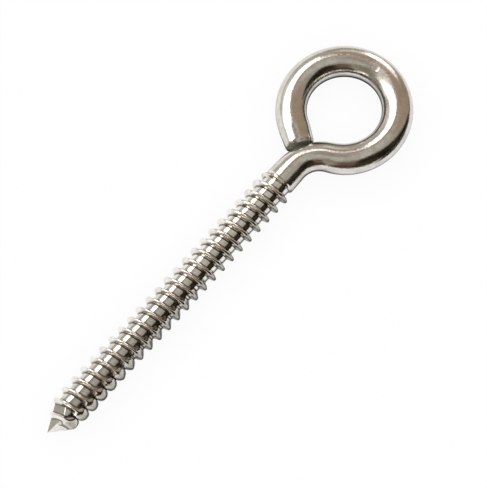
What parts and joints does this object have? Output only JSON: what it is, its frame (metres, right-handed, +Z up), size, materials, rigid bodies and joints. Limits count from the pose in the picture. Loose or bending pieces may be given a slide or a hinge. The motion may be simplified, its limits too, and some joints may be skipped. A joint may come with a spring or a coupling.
{
  "type": "screw eye",
  "caption": "Screw eye for hanging a hammock: a steel rod bent into a closed eye, with a long rolled wood-screw thread and a four-sided point.",
  "frame": {"origin": "centre of the eye, on the middle of its rod", "axes": "+X along the shank from the eye to the point, +Z up off the surface that the part lies on, on its thread's crests and one side of the eye"},
  "size_m": [0.1527, 0.0414, 0.0116],
  "materials": {
    "steel": "bright drawn and rolled, lightly polished"
  },
  "bodies": {
    "root": {"screw_eye": "steel"}
  },
  "joints": []
}
